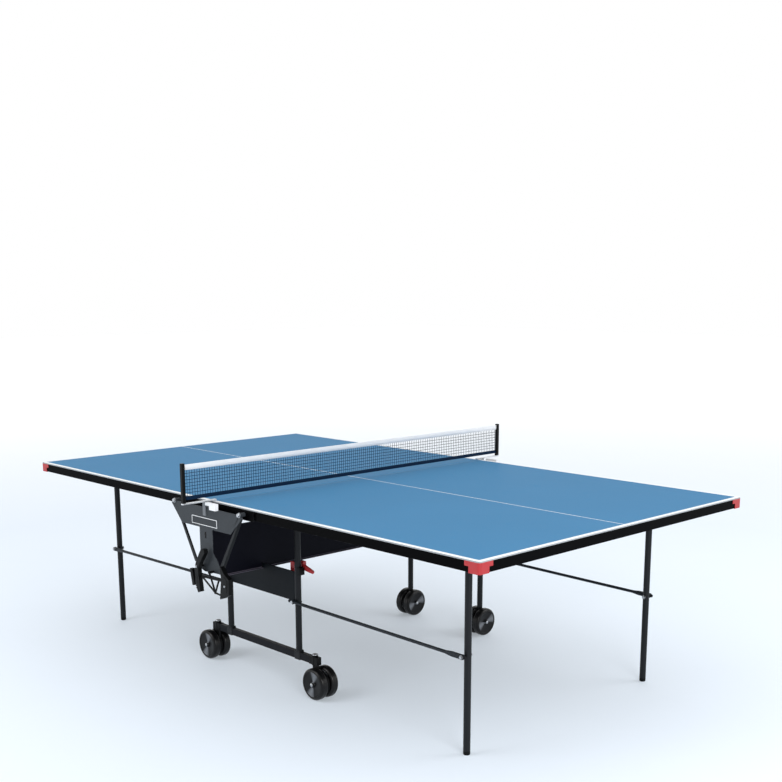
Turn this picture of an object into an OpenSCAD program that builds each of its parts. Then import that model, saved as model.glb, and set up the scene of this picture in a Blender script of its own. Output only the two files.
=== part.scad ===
// Folding table tennis table on a wheeled undercarriage.
// Origin: centre of the footprint on the floor. +X along the length, +Y across, +Z up.

/* [Table top] */
// Full length of the playing surface
top_l = 2740; // [2700:5:2780]
// Full width of the playing surface
top_w = 1525; // [1500:5:1550]
// Height of the playing surface above the floor
top_z = 760; // [755:1:765]
// Thickness of each playing board
board_t = 5; // [4:0.5:6]
// Gap between the two halves at the net
seam = 4; // [4:0.5:6]
// Radius of the outer corners
corner_r = 12; // [6:1:14]

/* [Apron and ribs] */
// Height of the apron rails under the board
apron_h = 35; // [30:1:36]
// Width of an apron rail
apron_t = 20; // [16:1:22]
// How far the apron stands back from the edge of the board
apron_inset = 2; // [2:0.5:3]
// Height of the cross ribs under the board
rib_h = 20; // [16:1:20]
// Wall thickness of the steel rails
rail_wall = 1.5; // [1:0.5:2]
// Length of the upper lobe of a corner cap along each side
cap_upper_l = 62; // [50:1:70]
// Length of the lower lobe of a corner cap along each side
cap_lower_l = 45; // [30:1:50]

/* [Folding] */
// Distance of each fold axis from the middle of the table
fold_x = 212; // [210:1:213]
// Depth of the fold axis below the playing surface
fold_depth = 22; // [21:0.5:23]
// Distance of the leg pivots from the middle of the table
leg_pivot_x = 1104; // [1090:1:1110]
// Depth of the leg pivots below the playing surface
leg_pivot_depth = 32; // [31:0.5:33]
// Vertical distance from a fold axis down to its tie rod pivot
rod_drop = 376; // [370:1:382]
// Outward shift of the tie rod pivots from the fold and leg axes
rod_shift = 6; // [5:0.5:7]
// Radius of the fold bolts
fold_pin_r = 5; // [4:0.5:6]
// Radius of the leg and tie rod bolts
rod_pin_r = 3.5; // [3:0.5:4]
// Radial running clearance in every pivot
running = 0.06; // [0.03:0.01:0.1]

/* [Legs and tie rods] */
// Distance of the legs from the middle of the table, along it
leg_x = 1112; // [1110:1:1114]
// Distance of the legs from the long centre line
leg_y = 525; // [520:1:528]
// Outer diameter of a leg tube
leg_d = 25; // [22:1:26]
// Height of a plastic foot
foot_h = 16; // [12:1:24]
// Diameter of a tie rod
rod_d = 12; // [10:1:12]
// Distance of the tie rods from the long centre line
rod_y = 550.5; // [550:0.5:552]

/* [Undercarriage] */
// Distance of the uprights from the middle of the table, along it
upright_x = 224.5; // [224:0.5:226]
// Distance of the uprights from the long centre line
upright_y = 530; // [529:0.5:531]
// Outer diameter of an upright
upright_d = 25; // [22:1:25]
// Underside of the bottom rail
base_z = 130; // [129:1:135]
// Height of the bottom rail
base_h = 29; // [24:1:32]
// Depth of the bottom rail across the table
base_w = 20; // [16:1:24]
// Underside of the side panels
side_panel_z = 360; // [350:1:365]
// Height of the side panels
side_panel_h = 118; // [100:1:118]
// Underside of the cross panel
cross_panel_z = 457; // [450:1:465]
// Top edge of the cross panel
cross_panel_top = 653; // [640:1:660]
// Distance of the end bracket plates from the long centre line
bracket_y = 788; // [786:1:792]

/* [Wheels] */
// Diameter of a wheel
wheel_d = 125; // [115:1:125]
// Width of a wheel
wheel_w = 35; // [32:1:36]
// Gap between the two wheels of a pair
wheel_gap = 16; // [16:1:20]
// Distance of the swivel stems from the middle of the table, along it
caster_x = 320; // [318:1:330]
// Distance of a caster's axle behind its swivel stem
caster_trail = 30; // [20:1:32]
// Radius of the wheel axles
axle_r = 5; // [4:0.5:6]

/* [Net] */
// Distance from the edge of the table to the centre of a net post
net_overhang = 127; // [120:1:152]
// Height of the net above the playing surface
net_h = 152.5; // [150:0.5:155]
// Width of a net post
post_w = 14; // [12:1:16]

/* [Hidden] */

$fn = 48;
hull_fn = 32;
half_w = top_w / 2;
half_l = top_l / 2;
board_z = top_z - board_t;
apron_z = board_z - apron_h;
rail_x = half_l - apron_inset;
rail_y = half_w - apron_inset;
corner_block = 14;
inner_rail_h = 14;
lip_t = 2;
cap_split = 19;
fold_z = top_z - fold_depth;
leg_pivot_z = top_z - leg_pivot_depth;
rod_in_x = fold_x + rod_shift;
rod_in_z = fold_z - rod_drop;
rod_out_x = leg_pivot_x + rod_shift;
rod_out_z = leg_pivot_z - rod_drop;
rib_x = [upright_x, 660];
leg_rail_w = 36;
leg_top_z = leg_pivot_z + 3;
leg_tie_z = 690;
leg_tie_r = 10;
ear_t = 3;
tube_wall = 1.5;
upright_top = board_z - rib_h - 2.5;
plug_t = 2;
sheet_t = 2;
panel_t = 6;
plate_t = 3;
gusset_t = 6;
gusset_l = 56;
gusset_drop = 4;
wheel_r = wheel_d / 2;
wheel_offset = (wheel_gap + wheel_w) / 2;
fork_w = wheel_gap - 6;
axle_half = wheel_offset + wheel_w / 2 + 2;
stem_r = 5;
post_y = half_w + net_overhang;
net_z = top_z + 17;
net_top = top_z + net_h;
band_h = 21;
foot_band_h = 15;
lever_y = 506;
lever_out = 513;
lever_in = 498;
lever_z = 492;
bolt_head_r = 6.5;
head_h = 4;
lock_back = bracket_y + 17.5;
lock_front = lock_back + 18;
bracket_boss_r = 8;
clamp_half = 24;
clamp_lip = 1;
hood_r = 50;
far_upright_z = wheel_d + 2;
axis_y = [90, 0, 0];
axis_x = [0, 90, 0];

// Box between two opposite corners
module span(low, high) {
    translate(low) cube(high - low);
}

// Box tube along Y between two corners
module rail_along_y(low, high) {
    difference() {
        span(low, high);
        span(low + [rail_wall, -1, rail_wall], high - [rail_wall, -1, rail_wall]);
    }
}

// Box tube along X between two corners
module rail_along_x(low, high) {
    difference() {
        span(low, high);
        span(low + [-1, rail_wall, rail_wall], high - [-1, rail_wall, rail_wall]);
    }
}

// Round upright tube from z0 to z1
module post_tube(x, y, z0, z1, d) {
    translate([x, y, z0]) difference() {
        cylinder(h = z1 - z0, d = d);
        translate([0, 0, -1]) cylinder(h = z1 - z0 + 2, d = d - 2 * tube_wall);
    }
}

// Cylinder along Y from y0 to y1
module along_y(x, z, y0, y1, r) {
    translate([x, y1, z]) rotate(axis_y) cylinder(h = y1 - y0, r = r);
}

// Cylinder along X from x0 to x1
module along_x(y, z, x0, x1, r) {
    translate([x0, y, z]) rotate(axis_x) cylinder(h = x1 - x0, r = r);
}

// Plate standing in the X-Z plane, from y0 to y0 + t
module upright_plate(y0, t) {
    translate([0, y0 + t, 0]) rotate(axis_y) linear_extrude(t) children();
}

// Children as they are and again on the other long side
module both_sides() {
    children();
    mirror([0, 1, 0]) children();
}

// ---- One half of the table top, built on the +X side ----

// Plan outline of one half, with rounded outer corners
module half_outline() {
    translate([seam / 2, -half_w]) square([half_l - corner_r - seam / 2, top_w]);
    translate([seam / 2, corner_r - half_w]) square([half_l - seam / 2, top_w - 2 * corner_r]);
    for (side = [-1, 1])
        translate([half_l - corner_r, side * (half_w - corner_r)]) circle(r = corner_r);
}

module board() {
    translate([0, 0, board_z]) linear_extrude(board_t) half_outline();
}

module side_rails() {
    both_sides() rail_along_x(
        [seam / 2, rail_y - apron_t, apron_z],
        [rail_x - apron_t, rail_y, board_z]);
}

module end_rail() {
    rail_along_y(
        [rail_x - apron_t, corner_block - half_w, apron_z],
        [rail_x, half_w - corner_block, board_z]);
}

module inner_rail() {
    rail_along_y(
        [seam / 2, apron_t - rail_y, board_z - inner_rail_h],
        [seam / 2 + apron_t, rail_y - apron_t, board_z]);
}

module cross_ribs() {
    for (x = rib_x) rail_along_y(
        [x - apron_t / 2, apron_t - rail_y, board_z - rib_h],
        [x + apron_t / 2, rail_y - apron_t, board_z]);
}

// Cross rail with two ears and a bolt over each leg
module leg_rail() {
    rail_along_y(
        [leg_x - leg_rail_w / 2, apron_t - rail_y, board_z - rib_h],
        [leg_x + leg_rail_w / 2, rail_y - apron_t, board_z]);
    both_sides() {
        for (side = [-1, 1])
            leg_ear(leg_y + side * (leg_d / 2 + 1 + ear_t / 2));
        along_y(leg_pivot_x, leg_pivot_z, leg_y - leg_d / 2 - 1, leg_y + leg_d / 2 + 1, rod_pin_r);
    }
}

// One ear under the leg rail, centred on y
module leg_ear(y) {
    ear_w = 22;
    span([leg_pivot_x - ear_w / 2, y - ear_t / 2, leg_pivot_z],
         [leg_pivot_x + ear_w / 2, y + ear_t / 2, board_z - rib_h]);
    along_y(leg_pivot_x, leg_pivot_z, y - ear_t / 2, y + ear_t / 2, ear_w / 2);
}

// Plan shape of a corner cap whose lobes reach the given length along each side
module cap_plan(reach) {
    intersection() {
        union() {
            translate([half_l - corner_block - 8, half_w - corner_block])
                square([corner_block + 8, corner_block]);
            translate([half_l - reach, rail_y]) square([reach, apron_inset]);
            translate([rail_x, half_w - reach]) square([apron_inset, reach]);
        }
        half_outline();
    }
}

// Lip that grips the underside of the apron at a corner
module cap_lip() {
    translate([0, 0, apron_z - lip_t]) linear_extrude(lip_t) intersection() {
        translate([half_l - cap_lower_l, half_w - cap_lower_l]) square(cap_lower_l);
        difference() {
            half_outline();
            translate([0, -half_w])
                square([rail_x - apron_t * 0.8, half_w + rail_y - apron_t * 0.8]);
        }
    }
}

module corner_caps() {
    both_sides() {
        translate([0, 0, apron_z]) linear_extrude(cap_split) cap_plan(cap_lower_l);
        translate([0, 0, apron_z + cap_split])
            linear_extrude(apron_h - cap_split) cap_plan(cap_upper_l);
        cap_lip();
    }
}

// Hinge plate on the outside of the apron, bored for the fold bolt
module hinge_gussets() {
    both_sides() difference() {
        upright_plate(rail_y, gusset_t) polygon([
            [fold_x - 16, board_z - 3], [fold_x - 16, apron_z + 2], [fold_x - 10, apron_z - gusset_drop],
            [fold_x + gusset_l - 10, apron_z - gusset_drop], [fold_x + gusset_l, apron_z + 2],
            [fold_x + gusset_l, board_z - 3]]);
        along_y(fold_x, fold_z, rail_y - 1, rail_y + gusset_t + 1, fold_pin_r + running);
    }
}

// ---- Leg frame of the +X half ----

module legs() {
    both_sides() difference() {
        union() {
            post_tube(leg_x, leg_y, foot_h - 2, leg_top_z, leg_d);
            translate([leg_x, leg_y, leg_top_z - 16]) cylinder(h = 16, d = leg_d - 1);
            along_y(rod_out_x, rod_out_z, leg_y, rod_y + rod_d / 2 + head_h, rod_pin_r);
            along_y(rod_out_x, rod_out_z, rod_y + rod_d / 2 + 0.5, rod_y + rod_d / 2 + head_h,
                    bolt_head_r);
            along_y(rod_out_x, rod_out_z, leg_y - leg_d / 2 - head_h, leg_y, bolt_head_r);
        }
        along_y(leg_pivot_x, leg_pivot_z, leg_y - leg_d, leg_y + leg_d, rod_pin_r + running);
    }
}

// Tube between the two legs, coped to their round sides
module leg_tie() {
    difference() {
        along_y(leg_x, leg_tie_z, -leg_y, leg_y, leg_tie_r);
        both_sides() translate([leg_x, leg_y, leg_tie_z - leg_d]) cylinder(h = 2 * leg_d, d = leg_d);
    }
}

module feet() {
    both_sides() translate([leg_x, leg_y, 0]) {
        cylinder(h = 3, d1 = leg_d - 4, d2 = leg_d);
        translate([0, 0, 3]) cylinder(h = foot_h - 5, d = leg_d);
        translate([0, 0, foot_h - 2]) cylinder(h = 14, d = leg_d - 2 * tube_wall);
    }
}

// ---- Tie rod of the +X, +Y corner ----

// Flat eye with a running bore, lying along X
module rod_eye(x, z) {
    along_y(x, z, rod_y - rod_d / 2 + 1, rod_y + rod_d / 2 - 1, 9);
}

module tie_rod() {
    lean = atan2(rod_out_z - rod_in_z, rod_out_x - rod_in_x);
    run = norm([rod_out_x - rod_in_x, rod_out_z - rod_in_z]);
    tail_in = 24;
    tail_out = 12;
    difference() {
        union() {
            translate([rod_in_x, rod_y, rod_in_z]) rotate([0, 90 - lean, 0])
                translate([0, 0, -tail_in]) cylinder(h = tail_in + run + tail_out, d = rod_d);
            rod_eye(rod_in_x, rod_in_z);
            rod_eye(rod_out_x, rod_out_z);
        }
        along_y(rod_in_x, rod_in_z, rod_y - rod_d, rod_y + rod_d, rod_pin_r + running);
        along_y(rod_out_x, rod_out_z, rod_y - rod_d, rod_y + rod_d, rod_pin_r + running);
    }
}

// ---- Undercarriage ----

module uprights() {
    color("darkslategray") {
        for (sx = [-1, 1]) {
            post_tube(sx * upright_x, -upright_y, base_z + base_h, upright_top, upright_d);
            post_tube(sx * upright_x, upright_y, far_upright_z, upright_top, upright_d);
        }
    }
}

module upright_plugs() {
    color("black") {
        for (sx = [-1, 1]) both_sides() translate([sx * upright_x, upright_y, upright_top]) {
            cylinder(h = plug_t, d = upright_d);
            translate([0, 0, -18]) cylinder(h = 18, d = upright_d - 2 * tube_wall);
        }
    }
}

module bottom_rail() {
    color("darkslategray") {
        rail_along_x(
            [clamp_half - caster_x, -upright_y - base_w / 2, base_z],
            [caster_x - clamp_half, base_w / 2 - upright_y, base_z + base_h]);
    }
}

// Panel between the two uprights of one side, with a rolled lower edge
module side_panel() {
    inner = upright_x - upright_d / 2;
    span([-inner, upright_y - panel_t / 2, side_panel_z],
         [inner, upright_y + panel_t / 2, side_panel_z + side_panel_h]);
}

// Panel across the table with a folded lower edge, slotted over the two side panels
module cross_panel() {
    flange = 12;
    corner_y = 63;
    corner_z = 40;
    color("midnightblue") difference() {
        union() {
            span([-sheet_t / 2, -bracket_y, cross_panel_z], [sheet_t / 2, bracket_y, cross_panel_top]);
            span([0, -bracket_y, cross_panel_z], [flange, bracket_y, cross_panel_z + sheet_t]);
        }
        both_sides() {
            span([-flange - 1, upright_y - panel_t / 2, cross_panel_z - 1],
                 [flange + 1, upright_y + panel_t / 2, side_panel_z + side_panel_h]);
            translate([-flange, 0, 0]) rotate([90, 0, 90]) linear_extrude(2 * flange + 1) polygon([
                [bracket_y - corner_y, cross_panel_z - 1], [bracket_y + 1, cross_panel_z - 1],
                [bracket_y + 1, cross_panel_z + corner_z], [bracket_y - corner_y, cross_panel_z]]);
        }
    }
}

// Outline of an end bracket: top bar between the fold axes, neck and flared foot
module bracket_outline() {
    lobe = 10.5;
    for (sx = [-1, 1]) translate([sx * fold_x, fold_z]) circle(r = lobe);
    polygon([
        [-218, 738], [-235, 727], [-167, 656], [-47, 656], [-47, 566], [-66, 537], [-84, 500],
        [-20, 484], [78, 489], [89, 499], [65, 537], [36, 566], [36, 656], [153, 656],
        [228, 727], [218, 738]]);
}

// Folded sheet at one end that carries both fold axes, with a boss behind each bolt hole
module end_bracket() {
    difference() {
        union() {
            upright_plate(bracket_y, plate_t) bracket_outline();
            for (sx = [-1, 1])
                along_y(sx * fold_x, fold_z, rail_y + gusset_t + 0.5, bracket_y, bracket_boss_r);
        }
        for (sx = [-1, 1])
            along_y(sx * fold_x, fold_z, rail_y, bracket_y + plate_t + 1, fold_pin_r);
    }
}

// Angle strip behind the bracket, from a fold axis down to the lock at its foot
module bracket_arm() {
    upright_plate(bracket_y - 3, 3) polygon([[198, 712], [214, 724], [90, 512], [72, 512]]);
    upright_plate(bracket_y - 14, 14) polygon([[211, 724], [214, 724], [90, 512], [87, 512]]);
}

// Angle strips and the side plates of the locks
module bracket_arms() {
    color("dimgray") {
        both_sides() {
            bracket_arm();
            mirror([1, 0, 0]) bracket_arm();
            upright_plate(lock_back, 6) polygon([[-73, 486], [-41, 494], [-40, 440], [-60, 428]]);
        }
    }
}

// Flat bar between two points of the X-Z plane
module bar(from, to, w) {
    run = to - from;
    translate(from) rotate(atan2(run[1], run[0])) translate([0, -w / 2]) square([norm(run), w]);
}

// Bent release handle, square keeper, thin hook and the rods between them
module lock_pair() {
    rod_w = 5;
    strut_w = 4;
    knot = [74, 420];
    upright_plate(lock_back, lock_front - lock_back) {
        polygon([
            [-3, 572], [10, 583], [23, 582], [26, 568], [-6, 527], [-20, 503], [-19, 481],
            [-9, 411], [-25, 405], [-40, 440], [-41, 495], [-35, 521], [-16, 546]]);
        polygon([
            [124, 532], [128, 534], [152, 506], [179, 491], [176, 431], [136, 411],
            [120, 406], [130, 485]]);
    }
    upright_plate(lock_back, 8) polygon([[-79, 486], [-73, 486], [-60, 428], [-66, 426]]);
    upright_plate(lock_back + 3, 5) {
        bar([-26, 478], knot, strut_w);
        bar(knot, [126, 416], strut_w);
        bar([-26, 469], [134, 476], rod_w);
        bar([38, 492], knot, strut_w);
        bar([99, 474.4], knot, strut_w);
        translate(knot) circle(r = rod_w);
    }
    for (pin = [[-31, 506], [38, 493]])
        along_y(pin[0], pin[1], bracket_y + plate_t, lock_back + 9, rod_w);
}

module lock_housings() {
    color("black") both_sides() lock_pair();
}

// Shouldered bolt on each fold axis
module fold_bolts() {
    color("silver") {
        plate_out = bracket_y + plate_t;
        for (sx = [-1, 1]) both_sides() {
            along_y(sx * fold_x, fold_z, rail_y + 0.4, plate_out, fold_pin_r);
            along_y(sx * fold_x, fold_z, plate_out, plate_out + 2, 9);
            translate([sx * fold_x, plate_out + 8, fold_z])
                rotate(axis_y) cylinder(h = 6, r = 7, $fn = 6);
        }
    }
}

// Bolts at the undercarriage end of each tie rod, and the bolts the levers turn on
module rod_bolts() {
    color("silver") {
        rod_face = rod_y + rod_d / 2;
        lever_head = 0.5 - lever_in;
        for (sx = [-1, 1]) {
            both_sides() {
                difference() {
                    along_y(sx * rod_in_x, rod_in_z, upright_y, rod_face + head_h, rod_pin_r);
                    upright_core(sx, rod_in_z);
                }
                along_y(sx * rod_in_x, rod_in_z, rod_face + 0.5, rod_face + head_h, bolt_head_r);
            }
            difference() {
                along_y(sx * upright_x, lever_z, -upright_y, lever_head + 3, rod_pin_r);
                mirror([0, 1, 0]) upright_core(sx, lever_z);
            }
            along_y(sx * upright_x, lever_z, lever_head, lever_head + 3, bolt_head_r);
        }
    }
}

// Solid of the outside of a far upright around z, for coping parts to it
module upright_core(sx, z) {
    reach = 50;
    translate([sx * upright_x, upright_y, z - reach]) cylinder(h = 2 * reach, d = upright_d);
}

// Plastic collar on each near upright beside its lever
module lever_mounts() {
    color("black") {
        for (sx = [-1, 1]) mirror([0, 1, 0]) difference() {
            translate([sx * (upright_x + 14), upright_y - 2.5, lever_z - 7])
                cube([18, 25, 30], center = true);
            upright_core(sx, lever_z);
        }
    }
}

// ---- Locking lever on the +X, -Y upright, held behind the tube ----

module lever() {
    grip = lever_z + 3;
    difference() {
        union() {
            span([158, -lever_out, lever_z - 33], [180, -lever_in, lever_z + 16]);
            span([158, -lever_out, lever_z - 9], [238, -lever_in, lever_z + 12]);
            span([212, -lever_out, lever_z - 9], [237, -lever_in, lever_z + 28]);
            hull() {
                translate([240, -lever_y, grip])
                    scale([1, 0.6, 1]) sphere(r = 12, $fn = hull_fn);
                translate([284, -lever_y, grip - 9])
                    scale([1, 0.8, 1]) sphere(r = 8, $fn = hull_fn);
            }
        }
        along_y(upright_x, lever_z, -lever_out - 1, -lever_in + 1, rod_pin_r + running);
    }
}

// ---- Casters ----

// Clamp block at each end of the bottom rail with a round housing for the swivel stem
module caster_clamps() {
    half_depth = base_w / 2 + 1;
    housing_r = 12.5;
    housing_top = base_z + base_h + 8;
    color("black") {
        for (sx = [-1, 1]) translate([sx * caster_x, -upright_y, 0]) {
            difference() {
                union() {
                    span([-clamp_half, -half_depth, base_z - clamp_lip],
                         [clamp_half, half_depth, base_z + base_h + clamp_lip]);
                    translate([0, 0, base_z - 3]) cylinder(h = housing_top - base_z + 3, r = housing_r);
                }
                translate([0, 0, base_z - 5]) cylinder(h = base_h + 6, r = stem_r + running);
            }
        }
    }
}

// Swivel stem at the origin, hood between the two wheels and axle behind it on the +X side
module caster_fork() {
    stem_top = base_z + base_h - 6;
    neck_top = base_z - 4;
    neck_half = 9;
    translate([0, 0, wheel_r + hood_r / 2]) cylinder(h = stem_top - wheel_r - hood_r / 2, r = stem_r);
    span([-neck_half, -fork_w / 2, wheel_r], [caster_trail, fork_w / 2, neck_top]);
    along_y(caster_trail, wheel_r, -fork_w / 2, fork_w / 2, hood_r);
    along_y(caster_trail, wheel_r, -axle_half, axle_half, axle_r);
}

// Fixed fork, hood and axle under a far upright, with its plug, centre at the origin
module fixed_fork() {
    neck_half = 11;
    translate([0, 0, far_upright_z]) cylinder(h = 25, d = upright_d - 2 * tube_wall);
    span([-fork_w / 2, -neck_half, wheel_r], [fork_w / 2, neck_half, far_upright_z]);
    along_x(0, wheel_r, -fork_w / 2, fork_w / 2, hood_r);
    along_x(0, wheel_r, -axle_half, axle_half, axle_r);
}

module far_wheel_forks() {
    color("black") {
        for (sx = [-1, 1]) translate([sx * upright_x, upright_y, 0]) fixed_fork();
    }
}

// Half profile of a wheel: bore, dished hub, tread with rounded shoulders
module wheel_profile() {
    shoulder = 12;
    half = wheel_w / 2;
    difference() {
        union() {
            translate([axle_r + running, -half]) square([wheel_r - shoulder - axle_r - running, wheel_w]);
            translate([wheel_r - shoulder, shoulder - half])
                square([shoulder, wheel_w - 2 * shoulder]);
            for (side = [-1, 1])
                translate([wheel_r - shoulder, side * (half - shoulder)]) circle(r = shoulder);
        }
        translate([18, half - 6]) square([30, 7]);
        translate([18, -half - 1]) square([30, 7]);
    }
}

// Wheel turning about Y, centred at the origin
module wheel() {
    rotate(axis_y) rotate_extrude() wheel_profile();
}

// Wheel of a near caster; step is -1 for the outer one and 1 for the inner one
module caster_wheel(sx, step) {
    translate([sx * (caster_x + caster_trail), step * wheel_offset - upright_y, wheel_r]) wheel();
}

// Wheel under a far upright; step is 1 away from the middle and -1 towards it
module far_wheel(sx, step) {
    translate([sx * (upright_x + step * wheel_offset), upright_y, wheel_r])
        rotate([0, 0, 90]) wheel();
}

// ---- Net ----

module net_posts() {
    color("black") {
        both_sides() {
            span([-post_w / 2, post_y - post_w / 2, top_z + 6],
                 [post_w / 2, post_y + post_w / 2, net_top + 5]);
        }
    }
}

// Flat arm from the foot of a post over the edge of the table, with a leg behind the bracket
// and a tongue in front of it
module net_arms() {
    color("silver") {
        both_sides() {
            span([-post_w / 2, half_w - 18, top_z + 1], [post_w / 2, post_y + post_w / 2, top_z + 6]);
            span([-post_w / 2, half_w + 6, 716], [post_w / 2, bracket_y, top_z + 1]);
            span([-16, bracket_y + plate_t, 706], [2, bracket_y + plate_t + 4, top_z + 1]);
        }
    }
}

// Clamp block on the face of the end bracket beside an arm
module net_clamps() {
    face = bracket_y + plate_t;
    color("whitesmoke") {
        both_sides() {
            span([17, face, top_z - 9], [82, face + 15, top_z + 2]);
            span([42, face, top_z - 24], [82, face + 15, top_z - 9]);
        }
    }
}

// Flat sheet of the net between the posts, from z0 to z1
module net_sheet(z0, z1, t) {
    reach = post_y - post_w / 2;
    span([-t / 2, -reach, z0], [t / 2, reach, z1]);
}

module net_mesh() {
    color("darkslategray") {
        net_sheet(net_z + foot_band_h, net_top - band_h, 2);
    }
}

module net_top_band() {
    color("white") {
        net_sheet(net_top - band_h, net_top, 4);
    }
}

module net_foot_band() {
    color("black") {
        net_sheet(net_z, net_z + foot_band_h, 3);
    }
}

// ---- Named parts ----

module right_half(colour) {
    color(colour) children();
}

module left_half(colour) {
    color(colour) mirror([1, 0, 0]) children();
}

module right_board() { right_half("steelblue") board(); }
module left_board() { left_half("steelblue") board(); }
module right_side_rails() { right_half("black") side_rails(); }
module left_side_rails() { left_half("black") side_rails(); }
module right_end_rail() { right_half("black") end_rail(); }
module left_end_rail() { left_half("black") end_rail(); }
module right_inner_rail() { right_half("black") inner_rail(); }
module left_inner_rail() { left_half("black") inner_rail(); }
module right_cross_ribs() { right_half("black") cross_ribs(); }
module left_cross_ribs() { left_half("black") cross_ribs(); }
module right_leg_rail() { right_half("black") leg_rail(); }
module left_leg_rail() { left_half("black") leg_rail(); }
module right_corner_caps() { right_half("firebrick") corner_caps(); }
module left_corner_caps() { left_half("firebrick") corner_caps(); }
module right_hinge_gussets() { right_half("black") hinge_gussets(); }
module left_hinge_gussets() { left_half("black") hinge_gussets(); }
module right_legs() { right_half("darkslategray") legs(); }
module left_legs() { left_half("darkslategray") legs(); }
module right_leg_tie() { right_half("darkslategray") leg_tie(); }
module left_leg_tie() { left_half("darkslategray") leg_tie(); }
module right_feet() { right_half("black") feet(); }
module left_feet() { left_half("black") feet(); }

module near_right_rod() { color("black") mirror([0, 1, 0]) tie_rod(); }
module far_right_rod() { color("black") tie_rod(); }
module near_left_rod() { color("black") rotate([0, 0, 180]) tie_rod(); }
module far_left_rod() { color("black") mirror([1, 0, 0]) tie_rod(); }
module near_side_panel() { color("dimgray") mirror([0, 1, 0]) side_panel(); }
module far_side_panel() { color("dimgray") side_panel(); }
module near_end_bracket() { color("slategray") mirror([0, 1, 0]) end_bracket(); }
module far_end_bracket() { color("slategray") end_bracket(); }
module right_lever() { color("firebrick") lever(); }
module left_lever() { color("firebrick") mirror([1, 0, 0]) lever(); }
module right_caster_fork() { color("black") translate([caster_x, -upright_y, 0]) caster_fork(); }
module left_caster_fork() { mirror([1, 0, 0]) right_caster_fork(); }
module right_caster_outer_wheel() { color("black") caster_wheel(1, -1); }
module right_caster_inner_wheel() { color("black") caster_wheel(1, 1); }
module left_caster_outer_wheel() { color("black") caster_wheel(-1, -1); }
module left_caster_inner_wheel() { color("black") caster_wheel(-1, 1); }
module far_right_outer_wheel() { color("black") far_wheel(1, 1); }
module far_right_inner_wheel() { color("black") far_wheel(1, -1); }
module far_left_outer_wheel() { color("black") far_wheel(-1, 1); }
module far_left_inner_wheel() { color("black") far_wheel(-1, -1); }

right_board();
right_side_rails();
right_end_rail();
right_inner_rail();
right_cross_ribs();
right_leg_rail();
right_corner_caps();
right_hinge_gussets();
left_board();
left_side_rails();
left_end_rail();
left_inner_rail();
left_cross_ribs();
left_leg_rail();
left_corner_caps();
left_hinge_gussets();
right_legs();
right_leg_tie();
right_feet();
left_legs();
left_leg_tie();
left_feet();
near_right_rod();
far_right_rod();
near_left_rod();
far_left_rod();
uprights();
upright_plugs();
bottom_rail();
near_side_panel();
far_side_panel();
cross_panel();
near_end_bracket();
far_end_bracket();
bracket_arms();
lock_housings();
fold_bolts();
rod_bolts();
net_posts();
net_arms();
net_clamps();
net_mesh();
net_top_band();
net_foot_band();
lever_mounts();
right_lever();
left_lever();
caster_clamps();
right_caster_fork();
left_caster_fork();
far_wheel_forks();
right_caster_outer_wheel();
right_caster_inner_wheel();
left_caster_outer_wheel();
left_caster_inner_wheel();
far_right_outer_wheel();
far_right_inner_wheel();
far_left_outer_wheel();
far_left_inner_wheel();
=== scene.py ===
"""Looks of a folding table tennis table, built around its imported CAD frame.

Metres. +X runs along the table, +Y across it and away from the viewer, +Z up.
"""

import math

import bmesh
import bpy
from mathutils import Matrix, Vector, noise


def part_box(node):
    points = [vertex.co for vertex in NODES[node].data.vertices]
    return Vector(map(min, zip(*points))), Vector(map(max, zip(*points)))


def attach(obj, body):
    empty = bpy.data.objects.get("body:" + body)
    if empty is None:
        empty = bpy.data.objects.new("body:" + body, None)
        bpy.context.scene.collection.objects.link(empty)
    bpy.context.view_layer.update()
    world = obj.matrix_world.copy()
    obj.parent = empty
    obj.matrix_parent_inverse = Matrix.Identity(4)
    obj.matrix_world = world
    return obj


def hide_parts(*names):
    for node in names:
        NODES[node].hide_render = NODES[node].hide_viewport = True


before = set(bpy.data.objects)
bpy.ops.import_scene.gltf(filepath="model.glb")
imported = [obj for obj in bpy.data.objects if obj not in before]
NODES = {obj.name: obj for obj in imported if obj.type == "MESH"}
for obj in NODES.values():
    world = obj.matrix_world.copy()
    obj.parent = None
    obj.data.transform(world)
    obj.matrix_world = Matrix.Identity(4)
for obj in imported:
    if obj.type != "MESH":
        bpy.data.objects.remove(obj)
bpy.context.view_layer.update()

SIDES = ("right", "left")
SIGN = {"right": 1, "left": -1, "near": -1, "far": 1}
ROOT = "undercarriage"
MM = 0.001

# ---------------------------------------------------------------- materials


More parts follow.
